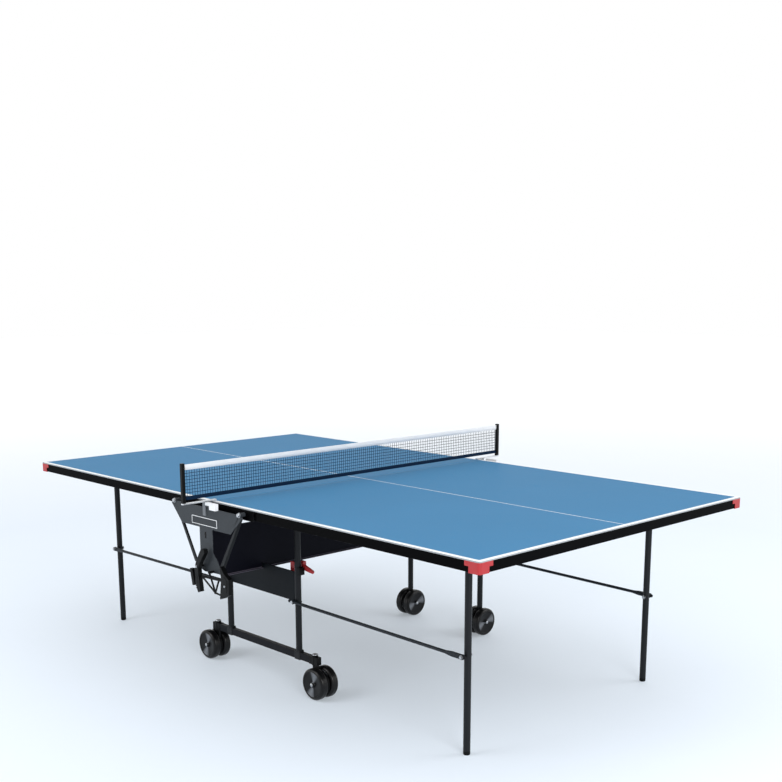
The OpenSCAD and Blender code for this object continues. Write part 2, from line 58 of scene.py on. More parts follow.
class Shader:
    """One Principled material, with short calls for the nodes that feed it."""

    def __init__(self, name, **sockets):
        self.material = bpy.data.materials.new(name)
        self.material.use_nodes = True
        self.tree = self.material.node_tree
        self.tree.nodes.clear()
        output = self.node("ShaderNodeOutputMaterial")
        self.bsdf = self.node("ShaderNodeBsdfPrincipled")
        self.tree.links.new(self.bsdf.outputs[0], output.inputs[0])
        for key, value in sockets.items():
            self.bsdf.inputs[key.replace("_", " ")].default_value = value
        self.place = self.node("ShaderNodeTexCoord").outputs["Object"]

    def node(self, kind, **settings):
        made = self.tree.nodes.new(kind)
        for key, value in settings.items():
            setattr(made, key, value)
        return made

    def feed(self, socket, value):
        """Link a socket, or set its constant."""
        if isinstance(value, bpy.types.NodeSocket):
            self.tree.links.new(value, socket)
        else:
            socket.default_value = value

    def math(self, operation, a, b=0.0):
        made = self.node("ShaderNodeMath", operation=operation)
        self.feed(made.inputs[0], a)
        self.feed(made.inputs[1], b)
        return made.outputs[0]

    def spread(self, value, low, high):
        """A 0 to 1 value stretched to the range from low to high."""
        made = self.node("ShaderNodeMapRange")
        self.feed(made.inputs["Value"], value)
        made.inputs["To Min"].default_value = low
        made.inputs["To Max"].default_value = high
        return made.outputs[0]

    def step(self, value, low, high):
        """0 below low, 1 above high, and even between."""
        made = self.node("ShaderNodeMapRange")
        self.feed(made.inputs["Value"], value)
        made.inputs["From Min"].default_value = low
        made.inputs["From Max"].default_value = high
        return made.outputs[0]

    def stretched(self, scale):
        made = self.node("ShaderNodeMapping")
        self.feed(made.inputs["Vector"], self.place)
        made.inputs["Scale"].default_value = scale
        return made.outputs[0]

    def noise(self, scale, detail, place=None):
        made = self.node("ShaderNodeTexNoise")
        self.feed(made.inputs["Vector"], place or self.place)
        made.inputs["Scale"].default_value = scale
        made.inputs["Detail"].default_value = detail
        return made.outputs["Fac"]

    def wave(self, period, **settings):
        """Even stripes or rings of the given period in metres."""
        made = self.node("ShaderNodeTexWave", **settings)
        self.feed(made.inputs["Vector"], self.place)
        made.inputs["Scale"].default_value = math.pi / (10 * period)
        return made.outputs["Fac"]

    def stripes(self, period, direction):
        return self.wave(period, bands_direction=direction)

    def rings(self, period):
        return self.wave(period, wave_type="RINGS", rings_direction="Z")

    def axes(self):
        """X, Y and Z of the object space."""
        made = self.node("ShaderNodeSeparateXYZ")
        self.feed(made.inputs[0], self.place)
        return made.outputs

    def mix(self, factor, a, b):
        made = self.node("ShaderNodeMix", data_type="RGBA")
        self.feed(made.inputs["Factor"], factor)
        self.feed(made.inputs["A"], a)
        self.feed(made.inputs["B"], b)
        return made.outputs["Result"]

    def edges(self, radius):
        """1 along sharp outer edges within radius, 0 on flats."""
        rounded = self.node("ShaderNodeBevel", samples=4)
        rounded.inputs["Radius"].default_value = radius
        flat = self.node("ShaderNodeNewGeometry")
        dot = self.node("ShaderNodeVectorMath", operation="DOT_PRODUCT")
        self.feed(dot.inputs[0], rounded.outputs[0])
        self.feed(dot.inputs[1], flat.outputs["Normal"])
        return self.step(dot.outputs["Value"], 0.995, 0.9)

    def bump(self, height, depth):
        made = self.node("ShaderNodeBump")
        made.inputs["Distance"].default_value = depth
        self.feed(made.inputs["Height"], height)
        return made.outputs[0]

    def finish(self, colour, roughness, normal):
        self.feed(self.bsdf.inputs["Base Color"], colour)
        self.feed(self.bsdf.inputs["Roughness"], roughness)
        self.feed(self.bsdf.inputs["Normal"], normal)
        return self.material


def rgb(red, green, blue):
    """Linear colour from 0 to 255 display values."""
    def linear(v):
        v /= 255
        return v / 12.92 if v <= 0.04045 else ((v + 0.055) / 1.055) ** 2.4
    return (linear(red), linear(green), linear(blue), 1.0)


def lighter(colour, factor):
    return tuple(min(1.0, c * factor) for c in colour[:3]) + (1.0,)


def coated(name, colour, roughness, grain=900, worn=None, shine=0.2, hem_highlight=None):
    """Paint or moulded plastic: cloudy tone, fine grain, rubbed edges, and an optional painted
    highlight that makes it paler below a height.
    """
    s = Shader(name, Specular_IOR_Level=shine)
    cloud = s.noise(5, 3)
    fine = s.noise(grain, 2)
    tone = s.mix(cloud, lighter(colour, 0.85), lighter(colour, 1.15))
    if worn:
        patchy = s.step(s.noise(60, 4), 0.45, 0.7)
        tone = s.mix(s.math("MULTIPLY", s.edges(1.5 * MM), patchy), tone, worn)
    # Painted highlight: paler below a given height, where a folded edge would catch the light.
    if hem_highlight:
        below, highlight_tone = hem_highlight
        tone = s.mix(s.step(s.axes()["Z"], below, below - 1 * MM), tone, highlight_tone)
    scuffs = s.step(s.noise(40, 6, s.stretched((1, 1, 6))), 0.5, 0.75)
    rough = s.math("ADD", s.spread(fine, roughness - 0.06, roughness + 0.06),
                   s.math("MULTIPLY", scuffs, 0.08))
    return s.finish(tone, rough, s.bump(fine, 0.12 * MM))


def play_surface(name, colour, shine):
    """Matt coat of the playing side: fine orange peel, faint ball marks."""
    s = Shader(name, Specular_IOR_Level=shine)
    cloud = s.noise(2.5, 3)
    fine = s.noise(1400, 1)
    marks = s.step(s.noise(22, 5), 0.62, 0.8)
    tone = s.mix(cloud, lighter(colour, 0.96), lighter(colour, 1.05))
    tone = s.mix(s.math("MULTIPLY", marks, 0.10), tone, lighter(colour, 1.5))
    rough = s.math("ADD", s.spread(fine, 0.42, 0.52), s.math("MULTIPLY", marks, 0.06))
    return s.finish(tone, rough, s.bump(fine, 0.05 * MM))


def steel(name, colour, roughness):
    """Bare or plated metal with fine scratches."""
    s = Shader(name, Metallic=1.0)
    scratches = s.noise(260, 8, s.stretched((1, 6, 1)))
    tone = s.mix(s.noise(30, 4), lighter(colour, 0.8), colour)
    rough = s.spread(scratches, roughness - 0.1, roughness + 0.12)
    return s.finish(tone, rough, s.bump(scratches, 0.03 * MM))


def woven(name, colour, thread, sheen):
    """Plain weave of threads along Y and Z."""
    s = Shader(name, Sheen_Weight=sheen, Sheen_Roughness=0.4, Specular_IOR_Level=0.1)
    weave = s.math("MULTIPLY", s.stripes(thread, "Y"), s.stripes(thread, "Z"))
    tone = s.mix(s.noise(18, 4), lighter(colour, 0.9), colour)
    tone = s.mix(s.math("MULTIPLY", weave, 0.25), tone, lighter(colour, 0.6))
    rough = s.spread(weave, 0.75, 0.9)
    return s.finish(tone, rough, s.bump(weave, 0.25 * MM))


def twisted(name, colour):
    """Braided nylon cord."""
    s = Shader(name, Specular_IOR_Level=0.1)
    strands = s.math("ADD", s.stripes(1.6 * MM, "Y"), s.stripes(1.6 * MM, "Z"))
    tone = s.mix(s.noise(40, 3), lighter(colour, 0.8), lighter(colour, 1.3))
    return s.finish(tone, s.spread(strands, 0.55, 0.7), s.bump(strands, 0.15 * MM))


def tyre(name, colour):
    """Smooth hard tread with a little dust in its pores."""
    s = Shader(name, Specular_IOR_Level=0.25)
    fine = s.noise(700, 3)
    dusty = s.step(s.noise(35, 5), 0.5, 0.8)
    tone = s.mix(s.math("MULTIPLY", dusty, 0.35), colour, lighter(colour, 2.4))
    return s.finish(tone, s.spread(fine, 0.22, 0.38), s.bump(fine, 0.04 * MM))


def turned_hub(name, colour, highlight_tone, lean):
    """Glossy moulded hub with fine rings, and two opposite paler fans that are a painted highlight.
    """
    s = Shader(name, Anisotropic=0.8, Specular_IOR_Level=0.2)
    turned = s.node("ShaderNodeTangent", direction_type="RADIAL", axis="Z")
    s.feed(s.bsdf.inputs["Tangent"], turned.outputs[0])
    rings = s.rings(0.9 * MM)
    # Painted highlight: two opposite pale fans, where turned rings would catch the light.
    axes = s.axes()
    angle = s.math("ARCTAN2", axes["Y"], axes["X"])
    turns = s.math("MULTIPLY", s.math("SUBTRACT", angle, math.radians(lean)), 2.0)
    highlight_fans = s.step(s.math("COSINE", turns), 0.5, 1.0)
    highlight_streaks = s.spread(s.noise(130, 3), 0.45, 1.0)
    tone = s.mix(s.noise(45, 4), lighter(colour, 0.8), lighter(colour, 1.2))
    tone = s.mix(s.math("MULTIPLY", highlight_fans, highlight_streaks), tone, highlight_tone)
    return s.finish(tone, s.spread(s.noise(300, 3), 0.28, 0.4), s.bump(rings, 0.02 * MM))


WORN = rgb(70, 72, 75)
# Height below which the cross panel's folded bottom edge gets a painted highlight
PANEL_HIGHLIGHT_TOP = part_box("cross_panel")[0].z + 6 * MM
MATERIALS = {
    "board_blue": play_surface("board_blue", rgb(62, 122, 164), 0.03),
    "line_white": play_surface("line_white", rgb(232, 236, 238), 0.2),
    "board_edge": coated("board_edge", rgb(150, 154, 158), 0.45),
    "board_back": coated("board_back", rgb(40, 43, 47), 0.6),
    "apron_black": coated("apron_black", rgb(4, 4, 5), 0.45, worn=WORN, shine=0.02),
    "frame_dark": coated("frame_dark", rgb(22, 24, 27), 0.38, worn=WORN, shine=0.18),
    # A darker copy of the frame paint for the bottom rail: painted shade.
    "rail_shaded": coated("rail_shaded", rgb(14, 16, 21), 0.4, worn=WORN, shine=0.1),
    "rod_dark": coated("rod_dark", rgb(22, 28, 34), 0.4, worn=WORN),
    "bracket_grey": coated("bracket_grey", rgb(51, 55, 59), 0.42, worn=rgb(120, 123, 126),
                           shine=0.15),
    # The cross panel's paler bottom strip is a painted highlight.
    "panel_dark": coated("panel_dark", rgb(13, 14, 23), 0.5, worn=WORN, shine=0.06,
                         hem_highlight=(PANEL_HIGHLIGHT_TOP, rgb(92, 88, 100))),
    "side_panel": coated("side_panel", rgb(18, 22, 26), 0.5, worn=WORN, shine=0.08),
    "red_plastic": coated("red_plastic", rgb(164, 38, 42), 0.34, grain=1200, shine=0.4),
    "black_plastic": coated("black_plastic", rgb(8, 9, 10), 0.4, grain=1300, shine=0.12),
    "wheel_black": tyre("wheel_black", rgb(12, 12, 13)),
    # The hub's pale fans are a painted highlight.
    "hub_black": turned_hub("hub_black", rgb(8, 9, 11), rgb(124, 128, 134), 105),
    "bolt_steel": steel("bolt_steel", rgb(186, 189, 193), 0.3),
    "arm_silver": steel("arm_silver", rgb(214, 217, 221), 0.35),
    "tongue_grey": coated("tongue_grey", rgb(104, 108, 113), 0.4),
    "clamp_white": coated("clamp_white", rgb(232, 234, 237), 0.4),
    "label_print": coated("label_print", rgb(40, 44, 48), 0.35),
    "net_cord": twisted("net_cord", rgb(6, 28, 56)),
    "net_tape": woven("net_tape", rgb(240, 241, 243), 0.8 * MM, 0.2),
    "net_hem": woven("net_hem", rgb(5, 31, 56), 0.8 * MM, 0.0),
    "thread_white": twisted("thread_white", rgb(228, 228, 230)),
}

# ---------------------------------------------------------------- mesh tools


def add_modifiers(obj, bevel, segments=2, weld=False):
    """Rounded edges with clean shading."""
    if weld:
        merge = obj.modifiers.new("weld", "WELD")
        merge.merge_threshold = 0.01 * MM
    if bevel:
        soft = obj.modifiers.new("bevel", "BEVEL")
        soft.width = bevel
        soft.segments = segments
        soft.limit_method = "ANGLE"
        soft.angle_limit = math.radians(32)
        soft.harden_normals = True
    even = obj.modifiers.new("normals", "WEIGHTED_NORMAL")
    even.keep_sharp = True


def build(name, bm, materials, body=ROOT, replaces=(), at=None, bevel=0.0,
          segments=2, smooth=True):
    """Make one piece of a bmesh, in the row frame or with its origin moved to at."""
    bmesh.ops.recalc_face_normals(bm, faces=bm.faces)
    mesh = bpy.data.meshes.new(name)
    bm.to_mesh(mesh)
    bm.free()
    for key in materials:
        mesh.materials.append(MATERIALS[key])
    mesh.polygons.foreach_set("use_smooth", [smooth] * len(mesh.polygons))
    obj = bpy.data.objects.new(name, mesh)
    bpy.context.scene.collection.objects.link(obj)
    if at is not None:
        obj.matrix_world = at
    if bevel:
        add_modifiers(obj, bevel, segments)
    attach(obj, body)
    if replaces:
        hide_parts(*replaces)
    return obj


def carry(node, material, bevel=0.4 * MM, segments=2):
    """Keep a CAD node, with its finish and rounded edges."""
    obj = NODES[node]
    obj.data.materials.clear()
    obj.data.materials.append(MATERIALS[material])
    add_modifiers(obj, bevel, segments, weld=True)


def prism(bm, outline, low, high):
    """Extrude an outline of (x, z) points along Y."""
    bottom = [bm.verts.new((x, low, z)) for x, z in outline]
    top = [bm.verts.new((x, high, z)) for x, z in outline]
    bm.faces.new(bottom)
    bm.faces.new(top[::-1])
    for i, first in enumerate(bottom):
        j = (i + 1) % len(bottom)
        bm.faces.new((first, top[i], top[j], bottom[j]))


def box(bm, low, high):
    """Box between two opposite corners."""
    outline = [(low[0], low[2]), (high[0], low[2]), (high[0], high[2]), (low[0], high[2])]
    prism(bm, outline, low[1], high[1])


def lathe(bm, profile, segments, matrix=None, materials=None):
    """Turn a profile of (radius, height) points about Z; material per profile step."""
    turn = 2 * math.pi / segments
    made = []
    for radius, height in profile:
        if radius < 1e-7:
            made.append([bm.verts.new((0, 0, height))] * segments)
        else:
            made.append([
                bm.verts.new((radius * math.cos(i * turn), radius * math.sin(i * turn), height))
                for i in range(segments)
            ])
    for k in range(len(profile) - 1):
        a, b = made[k], made[k + 1]
        for i in range(segments):
            j = (i + 1) % segments
            corners = []
            for v in (a[i], a[j], b[j], b[i]):
                if v not in corners:
                    corners.append(v)
            if len(corners) > 2:
                face = bm.faces.new(corners)
                face.material_index = materials[k] if materials else 0
    if matrix:
        bmesh.ops.transform(bm, matrix=matrix, verts=list({v for ring in made for v in ring}))


def arc(centre, radius, start, end, steps):
    """Points of an arc, angles in degrees."""
    return [
        (centre[0] + radius * math.cos(math.radians(start + (end - start) * i / steps)),
         centre[1] + radius * math.sin(math.radians(start + (end - start) * i / steps)))
        for i in range(steps + 1)
    ]


def axis_matrix(place, direction):
    """Local Z turned to a direction, origin at place."""
    turn = Vector((0, 0, 1)).rotation_difference(Vector(direction)).to_matrix().to_4x4()
    return Matrix.Translation(place) @ turn


# ---------------------------------------------------------------- table top

board_low, board_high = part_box("right_board")
HALF_L = board_high.x
HALF_W = board_high.y
BOARD_LOW = board_low.z
TOP_Z = board_high.z
SEAM = board_low.x
CORNER = 12 * MM
BORDER = 17 * MM
CENTRE_LINE = 4 * MM
EDGE = 0.8 * MM


def board_outline(inset):
    """Plan outline of the right half, moved in by inset."""
    r = CORNER - inset
    x, y = HALF_L - CORNER, HALF_W - CORNER
    start = SEAM + inset
    return ([(start, -HALF_W + inset)] + arc((x, -y), r, -90, 0, 8)
            + arc((x, y), r, 0, 90, 8) + [(start, HALF_W - inset)])


def board_piece(side):
    """One playing half: blue field, painted lines, light edge."""
    bm = bmesh.new()
    levels = [(0.5 * MM, BOARD_LOW), (0, BOARD_LOW + 0.5 * MM), (0, TOP_Z - EDGE),
              (EDGE * 0.3, TOP_Z - EDGE * 0.3), (EDGE, TOP_Z)]
    loops = [[bm.verts.new((x, y, z)) for x, y in board_outline(inset)] for inset, z in levels]
    bm.faces.new(loops[0])
    bm.faces.new(loops[-1][::-1])
    for a, b in zip(loops, loops[1:]):
        for i in range(len(a)):
            j = (i + 1) % len(a)
            bm.faces.new((a[i], a[j], b[j], b[i]))
    cuts = [((0, y, 0), (0, 1, 0)) for y in (
        BORDER - HALF_W, -CENTRE_LINE / 2, CENTRE_LINE / 2, HALF_W - BORDER)]
    cuts += [((x, 0, 0), (1, 0, 0)) for x in (HALF_L - BORDER, HALF_L / 2)]
    for place, normal in cuts:
        bmesh.ops.bisect_plane(
            bm, geom=bm.verts[:] + bm.edges[:] + bm.faces[:], plane_co=place, plane_no=normal)
    blue, white, edge, back = range(4)
    for face in bm.faces:
        c = face.calc_center_median()
        if c.z < BOARD_LOW + 0.1 * MM:
            face.material_index = back
        elif c.z < TOP_Z - EDGE * 0.2:
            face.material_index = edge if c.x > SEAM + 2 * EDGE else blue
        elif abs(c.y) > HALF_W - BORDER or c.x > HALF_L - BORDER or abs(c.y) < CENTRE_LINE / 2:
            face.material_index = white
        else:
            face.material_index = blue
    if side == "left":
        bmesh.ops.scale(bm, vec=(-1, 1, 1), verts=bm.verts)
    build(f"{side}_playing_surface", bm, ("board_blue", "line_white", "board_edge", "board_back"),
          f"{side}_half", (f"{side}_board",), smooth=False)


for side in SIDES:
    board_piece(side)
    for part in ("side_rails", "end_rail", "inner_rail", "cross_ribs", "leg_rail"):
        carry(f"{side}_{part}", "apron_black", 0.5 * MM)
    carry(f"{side}_hinge_gussets", "apron_black", 0.8 * MM)
    carry(f"{side}_corner_caps", "red_plastic", 0.8 * MM, 3)
    carry(f"{side}_legs", "frame_dark", 0.3 * MM)
    carry(f"{side}_leg_tie", "frame_dark", 0)
    carry(f"{side}_feet", "black_plastic", 0.5 * MM)
    for row in ("near", "far"):
        carry(f"{row}_{side}_rod", "rod_dark", 0.4 * MM)
    carry(f"{side}_caster_fork", "black_plastic", 1.0 * MM, 3)

# ---------------------------------------------------------------- undercarriage

# Each node with its finish and the width of its bevel in mm
for node, material, bevel in (
    ("uprights", "frame_dark", 0.3), ("upright_plugs", "black_plastic", 0.4),
    ("bottom_rail", "rail_shaded", 1.4), ("near_side_panel", "side_panel", 0.8),
    ("far_side_panel", "side_panel", 0.8), ("cross_panel", "panel_dark", 0.4),
    ("lever_mounts", "black_plastic", 1.5), ("near_end_bracket", "bracket_grey", 0.6),
    ("far_end_bracket", "bracket_grey", 0.6), ("bracket_arms", "frame_dark", 0.4),
    ("lock_housings", "black_plastic", 1.5), ("fold_bolts", "bolt_steel", 0.4),
    ("rod_bolts", "bolt_steel", 0.4), ("net_posts", "black_plastic", 1.2),
    ("net_arms", "arm_silver", 0.6), ("net_clamps", "clamp_white", 0.8),
    ("caster_clamps", "black_plastic", 1.2), ("far_wheel_forks", "black_plastic", 1.0),
    ("right_lever", "red_plastic", 1.0), ("left_lever", "red_plastic", 1.0),
):
    carry(node, material, bevel * MM)

# The net arms are bright above the table and grey where their tongues hang down
arms = NODES["net_arms"]
arms.data.materials.append(MATERIALS["tongue_grey"])
for face in arms.data.polygons:
    if (arms.matrix_world @ face.center).z < TOP_Z - 1 * MM:
        face.material_index = 1

# ---------------------------------------------------------------- fittings

FORK_LOW, FORK_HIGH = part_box("right_caster_fork")
RAIL_LOW, RAIL_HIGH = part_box("bottom_rail")
UPRIGHT_LOW, UPRIGHT_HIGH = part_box("uprights")
CLAMP_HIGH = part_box("caster_clamps")[1]
LEG_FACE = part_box("right_legs")[1].y
PANEL_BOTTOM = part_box("near_side_panel")[0].z
BRACKET_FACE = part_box("far_end_bracket")[1].y
LOCK_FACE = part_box("lock_housings")[1].y
TUBE_R = 12.5 * MM
LEG_Y = 525 * MM
UPRIGHT_X = UPRIGHT_HIGH.x - TUBE_R
UPRIGHT_NEAR = UPRIGHT_LOW.y + TUBE_R
UPRIGHT_FAR = UPRIGHT_HIGH.y - TUBE_R
CLAMP_HALF = 24 * MM

# Bolts of a tie rod at (x, z), its row, and how far it reaches past them
ROD_IN, ROD_OUT = (0.218, 0.362), (1.110, 0.352)
ROD_Y = 550.5 * MM
ROD_TAILS = (24 * MM, 12 * MM)

# Flattened rod end, as mm along the rod from its outer bolt and mm across it
PADDLE = [(-75, -5.6), (-48, -8.8), (4, -8.8), (8, -6.5), (8, 6.5), (4, 8.8), (-48, 8.8), (-75, 5.6)]

# Label and neck slot of the end brackets, as heights
LABEL_LOW, LABEL_HIGH = 0.666, 0.697
SLOT_LOW, SLOT_HIGH = 0.617, 0.642

# Lock mouldings: grip ribs, screws and outlines at (x, z), and hook bars as two ends and a radius
GRIP_LOW, GRIP_PITCH, GRIP_RIBS = 0.420, 8 * MM, 7
LOCK_SCREWS = [("handle", -0.031, 0.506), ("keeper", 0.153, 0.462)]
KEEPER_COVER = [(0.134, 0.424), (0.165, 0.438), (0.168, 0.484), (0.148, 0.500), (0.139, 0.486)]
HOOK_TAIL = [(-0.085, 0.490), (-0.068, 0.492), (-0.052, 0.428), (-0.070, 0.424)]
KNOT = (0.074, 0.420)
HOOK_BARS = [
    ((-0.030, 0.469), (0.134, 0.476), 4.2 * MM), ((-0.026, 0.478), KNOT, 3.6 * MM),
    (KNOT, (0.126, 0.416), 3.6 * MM), ((0.038, 0.492), KNOT, 3.6 * MM),
    ((0.099, 0.474), KNOT, 3.6 * MM),
]


def bolt_head(name, place, direction, body, radius, height=4.2 * MM):
    """Washer and chamfered hexagon head, seated on a face at place."""
    bm = bmesh.new()
    washer = radius * 1.15
    lathe(bm, [(0, 0), (washer, 0), (washer, 0.6 * MM), (washer - 0.4 * MM, 1.0 * MM),
               (0, 1.0 * MM)], 40)
    lathe(bm, [(0, 1.0 * MM), (radius, 1.0 * MM), (radius, height - 0.8 * MM),
               (radius * 0.86, height), (0, height)], 6)
    build(name, bm, ("bolt_steel",), body, at=axis_matrix(place, direction),
          bevel=0.25 * MM, smooth=False)


def weld_ring(name, place, radius, body):
    """Rippled bead of weld around the foot of a tube."""
    bm = bmesh.new()
    around, across = 96, 8
    loops = []
    for i in range(around):
        a = 2 * math.pi * i / around
        bead = (1.7 + 0.35 * math.sin(26 * a) + 0.3 * noise.noise(Vector((3 * a, 0, 1)))) * MM
        loop = []
        for k in range(across):
            b = 2 * math.pi * k / across
            reach = radius + bead * math.cos(b)
            loop.append(bm.verts.new(
                (reach * math.cos(a), reach * math.sin(a), bead * math.sin(b))))
        loops.append(loop)
    for i, loop in enumerate(loops):
        after = loops[(i + 1) % around]
        for k in range(across):
            j = (k + 1) % across
            bm.faces.new((loop[k], after[k], after[j], loop[j]))
    build(name, bm, ("frame_dark",), body, at=Matrix.Translation(place))


def blank_plate(row):
    """Plain label plate with a light rim, and the neck's slot, on an end bracket."""
    way = SIGN[row]
    y = way * BRACKET_FACE
    rim = 2.2 * MM
    left, right = sorted((way * 95 * MM, -way * 70 * MM))
    low, high = LABEL_LOW, LABEL_HIGH
    plate = [(left, right, low, high)]
    rim_bars = [
        (left, right, low, low + rim), (left, right, high - rim, high),
        (left, left + rim, low + rim, high - rim), (right - rim, right, low + rim, high - rim),
    ]
    slot = [(-14 * MM, -4 * MM, SLOT_LOW, SLOT_HIGH)]
    # How deep each sits in the bracket, how far it stands out, and its bevel are in mm
    for name, parts, sunk, proud, material, bevel in (
        ("label_plate", plate, 0, 0.8, "label_print", 0.3),
        ("label_rim", rim_bars, 0, 1.4, "clamp_white", 0),
        ("neck_inset", slot, 0.1, 0.3, "black_plastic", 0),
    ):
        back, front = sorted((y - way * sunk * MM, y + way * proud * MM))
        bm = bmesh.new()
        for x0, x1, z0, z1 in parts:
            box(bm, (x0, back, z0), (x1, front, z1))
        build(f"{row}_{name}", bm, (material,), ROOT, bevel=bevel * MM)


def dome(name, place, direction, body, radius, height, material="bolt_steel"):
    """Low domed cap seated at place."""
    bm = bmesh.new()
    steps = [i * math.pi / 16 for i in range(9)]
    crown = [(radius * math.cos(a), height * (0.3 + 0.7 * math.sin(a))) for a in steps]
    lathe(bm, [(0, 0), (radius, 0)] + crown, 40)
    build(name, bm, (material,), body, at=axis_matrix(place, direction))


def leg_fittings(row, side):
    """Steel heads on both ends of the bolt that ties a rod to its leg."""
    way, turn = SIGN[row], SIGN[side]
    x, z = turn * ROD_OUT[0], ROD_OUT[1]
    cad_head = 3.5 * MM
    for name, y, out in (("outer", LEG_FACE - cad_head, way), ("inner", LEG_Y - TUBE_R, -way)):
        bolt_head(f"{row}_{side}_rod_{name}_head", (x, way * y, z), (0, out, 0),
                  f"{side}_leg_frame", 6.6 * MM)


def saddle(side, y):
    """Folded sheet that wraps the bottom rail under an upright."""
    x = SIGN[side] * UPRIGHT_X
    wide, skin, lip = 16 * MM, 2 * MM, 6 * MM
    half = (RAIL_HIGH.y - RAIL_LOW.y) / 2
    bm = bmesh.new()
    for way in (-1, 1):
        inner, outer = sorted((y + way * (half + 0.1 * MM), y + way * (half + skin)))
        outline = [(x - wide, RAIL_LOW.z - skin), (x + wide, RAIL_LOW.z - skin),
                   (x + wide, RAIL_HIGH.z - lip), (x + TUBE_R, RAIL_HIGH.z + lip),
                   (x - TUBE_R, RAIL_HIGH.z + lip), (x - wide, RAIL_HIGH.z - lip)]
        prism(bm, outline, inner, outer)
    box(bm, (x - wide, y - half - skin, RAIL_LOW.z - skin),
        (x + wide, y + half + skin, RAIL_LOW.z - 0.1 * MM))
    build(f"{side}_rail_saddle", bm, ("frame_dark",), ROOT, bevel=0.5 * MM, smooth=False)


def undercarriage_fittings(side):
    """Saddles, weld beads and stem caps of one end."""
    turn = SIGN[side]
    saddle(side, UPRIGHT_NEAR)
    for name, z in (("upright", RAIL_HIGH.z), ("panel", PANEL_BOTTOM)):
        weld_ring(f"{side}_{name}_weld", (turn * UPRIGHT_X, UPRIGHT_NEAR, z), TUBE_R, ROOT)
    place = (turn * (CLAMP_HIGH.x - CLAMP_HALF), UPRIGHT_NEAR, CLAMP_HIGH.z - 0.2 * MM)
    dome(f"{side}_stem_cap", place, (0, 0, 1), ROOT, 12 * MM, 6 * MM)


def rod_plugs(row, side):
    """Plastic plugs in both ends of a tie rod, and its flattened end at the leg."""
    way, turn = SIGN[row], SIGN[side]
    first, last = Vector((ROD_IN[0], 0, ROD_IN[1])), Vector((ROD_OUT[0], 0, ROD_OUT[1]))
    lean = (last - first).normalized()
    for name, end, out in (("inner", first - lean * ROD_TAILS[0], -1),
                           ("outer", last + lean * ROD_TAILS[1], 1)):
        place = (turn * end.x, way * ROD_Y, end.z)
        direction = (turn * out * lean.x, 0, out * lean.z)
        dome(f"{row}_{side}_rod_{name}_plug", place, direction, f"{row}_{side}_tie_rod",
             5.6 * MM, 3 * MM, "black_plastic")
    up = Vector((-lean.z, 0, lean.x))
    outline = []
    for along, across in PADDLE:
        point = last + lean * along * MM + up * across * MM
        outline.append((turn * point.x, point.z))
    bm = bmesh.new()
    prism(bm, outline, way * ROD_Y - 4.5 * MM, way * ROD_Y + 4.5 * MM)
    build(f"{row}_{side}_rod_paddle", bm, ("rod_dark",), f"{row}_{side}_tie_rod", bevel=1.5 * MM,
          segments=3)


def lock_details(row):
    """Grip ribs, screws and a raised cover on the two lock mouldings."""
    way = SIGN[row]
    bm = bmesh.new()
    low, high = sorted((way * (LOCK_FACE - 1 * MM), way * (LOCK_FACE + 0.9 * MM)))
    for i in range(GRIP_RIBS):
        z = GRIP_LOW + i * GRIP_PITCH
        box(bm, (-37 * MM, low, z), (-23 * MM, high, z + 3 * MM))
    build(f"{row}_handle_ribs", bm, ("black_plastic",), ROOT, bevel=0.6 * MM)
    bm = bmesh.new()
    low, high = sorted((way * (LOCK_FACE - 1 * MM), way * (LOCK_FACE + 1.2 * MM)))
    prism(bm, KEEPER_COVER, low, high)
    build(f"{row}_keeper_cover", bm, ("black_plastic",), ROOT, bevel=0.8 * MM, segments=3)
    for name, x, z in LOCK_SCREWS:
        bolt_head(f"{row}_{name}_screw", (x, way * LOCK_FACE, z), (0, way, 0), ROOT,
                  4.5 * MM, 3 * MM)


def lock_rods(row):
    """Round bars and the hook tail that join the two lock mouldings."""
    way = SIGN[row]
    y = way * (LOCK_FACE - 12.5 * MM)
    bm = bmesh.new()
    for start, end, radius in HOOK_BARS:
        first, last = (Vector((p[0], y, p[1])) for p in (start, end))
        length = (last - first).length
        lathe(bm, [(0, 0), (radius, 0), (radius, length), (0, length)], 24,
              axis_matrix(first, last - first))
    build(f"{row}_lock_rods", bm, ("black_plastic",), ROOT, bevel=0.3 * MM)
    bm = bmesh.new()
    low, high = sorted((way * (LOCK_FACE - 19 * MM), way * (LOCK_FACE - 5 * MM)))
    prism(bm, HOOK_TAIL, low, high)
    build(f"{row}_hook_tail", bm, ("black_plastic",), ROOT, bevel=2 * MM, segments=3)


for side in SIDES:
    undercarriage_fittings(side)
    for row in ("near", "far"):
        leg_fittings(row, side)
        rod_plugs(row, side)
for row in ("near", "far"):
    blank_plate(row)
    lock_details(row)
    lock_rods(row)

# ---------------------------------------------------------------- wheels

WHEEL_R = 62.5 * MM
WHEEL_W = 35 * MM
AXLE_R = 5.1 * MM


def wheel_profile():
    """Half profile from the bore out over the round tyre, with a dished hub."""
    half = WHEEL_W / 2
    rim, shoulder = 50 * MM, 12 * MM
    hub = [(AXLE_R, half - 1 * MM), (10 * MM, half - 1 * MM), (11 * MM, half - 1.6 * MM),
           (11.6 * MM, half - 5.5 * MM), (13 * MM, half - 6 * MM), (rim - 4 * MM, half - 2.2 * MM),
           (rim - 3 * MM, half - 1.4 * MM), (rim - 2 * MM, half - 1.2 * MM),
           (rim - 1.2 * MM, half - 2.4 * MM)]
    tread = [(rim, half - 2.4 * MM), (rim + 0.3 * MM, half - 0.9 * MM)]
    tread += arc((WHEEL_R - shoulder, half - shoulder), shoulder, 88, 6, 10)
    groove = [(WHEEL_R, 3.4 * MM), (WHEEL_R - 0.6 * MM, 3.0 * MM), (WHEEL_R - 0.6 * MM, 2.5 * MM),
              (WHEEL_R, 2.1 * MM), (WHEEL_R, 0)]
    upper = hub + tread + groove
    profile = upper + [(r, -z) for r, z in reversed(upper[:-1])]
    count = len(profile) - 1
    hub_steps = len(hub)
    return profile, [0 if hub_steps <= k < count - hub_steps else 1 for k in range(count)]


